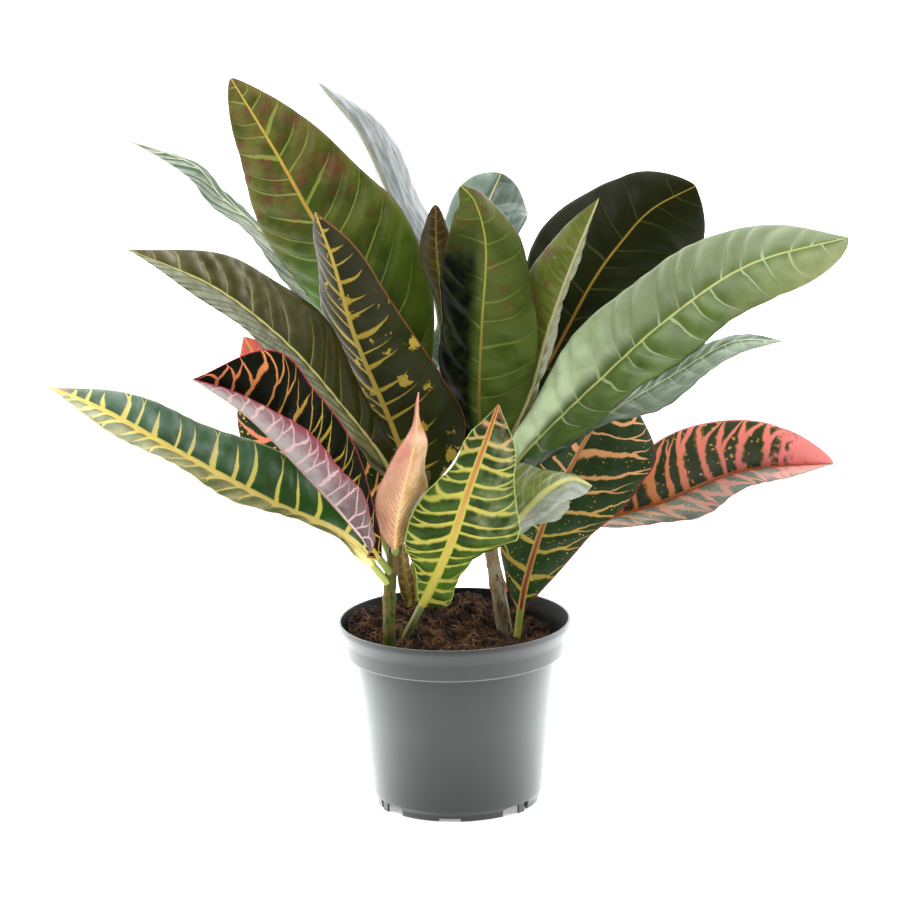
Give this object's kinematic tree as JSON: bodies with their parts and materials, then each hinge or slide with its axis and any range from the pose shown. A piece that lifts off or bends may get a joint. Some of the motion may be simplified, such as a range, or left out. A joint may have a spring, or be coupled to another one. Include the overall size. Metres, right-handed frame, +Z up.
{
  "type": "potted croton",
  "caption": "A bushy croton with broad, colourfully veined leaves on short stems, rooted in peat in a grey plastic nursery pot.",
  "frame": {"origin": "on the pot's axis, in the plane of the pot's feet", "axes": "+Z up along the pot's axis, -Y towards the viewer of the picture, +X to that viewer's right"},
  "size_m": [0.4286, 0.2567, 0.3985],
  "materials": {
    "pot": "satin grey moulded plastic",
    "soil": null,
    "stem_left": "green stem with brown scars",
    "stem_right": "grey-brown woody stem",
    "leaf_tall_left": "glossy olive green leaf with a yellow midrib and dull red patches",
    "leaf_striped_left": "near-black green leaf with mustard yellow bars along the midrib",
    "leaf_olive_left": "olive leaf, glossy, with pale veins",
    "leaf_narrow_left": "green leaf seen at a low angle, silvery with gloss",
    "leaf_pale_left": "green leaf seen at a low angle, silvery with gloss",
    "leaf_young": "young dark red-brown leaf",
    "leaf_back": "bluish green glossy leaf",
    "leaf_upright": "dark green leaf with a yellow and red midrib",
    "leaf_mottled": "mottled olive and red-brown glossy leaf",
    "leaf_dark_right": "near-black green leaf with faint yellow veins",
    "leaf_long_right": "sage green leaf with pale veins",
    "leaf_silver_right": "dark green leaf with a silvery lower half",
    "leaf_pink_tip_right": "black-green leaf with a coral vein net and a pink tip",
    "leaf_orange_vein_right": "dark green leaf with orange veins and a red margin",
    "leaf_small_folded": "small sage green folded leaf",
    "leaf_front_yellow": "dark green leaf with broad yellow veins and pale margins",
    "leaf_front_pink": "salmon pink leaf with a yellow-green base",
    "leaf_purple_left": "black-green leaf with orange veins and a pink-grey underside",
    "leaf_broad_left": "dark green leaf with peach speckles and a pink tip",
    "leaf_long_left": "green leaf with a bright yellow vein net",
    "leaf_silver_back": "silvery green leaf with white veins",
    "leaf_cream_back": "cream and olive mottled leaf",
    "leaf_low_brown": "small dried brown-red leaf with a yellow edge",
    "leaf_low_green": "small yellow-green leaf"
  },
  "bodies": {
    "root": {"pot": "pot", "soil": "soil", "stem_left": "stem_left", "stem_right": "stem_right", "leaf_tall_left": "leaf_tall_left", "leaf_striped_left": "leaf_striped_left", "leaf_olive_left": "leaf_olive_left", "leaf_narrow_left": "leaf_narrow_left", "leaf_pale_left": "leaf_pale_left", "leaf_young": "leaf_young", "leaf_back": "leaf_back", "leaf_upright": "leaf_upright", "leaf_mottled": "leaf_mottled", "leaf_dark_right": "leaf_dark_right", "leaf_long_right": "leaf_long_right", "leaf_silver_right": "leaf_silver_right", "leaf_pink_tip_right": "leaf_pink_tip_right", "leaf_orange_vein_right": "leaf_orange_vein_right", "leaf_small_folded": "leaf_small_folded", "leaf_front_yellow": "leaf_front_yellow", "leaf_front_pink": "leaf_front_pink", "leaf_purple_left": "leaf_purple_left", "leaf_broad_left": "leaf_broad_left", "leaf_long_left": "leaf_long_left", "leaf_silver_back": "leaf_silver_back", "leaf_cream_back": "leaf_cream_back", "leaf_low_brown": "leaf_low_brown", "leaf_low_green": "leaf_low_green"}
  },
  "joints": []
}
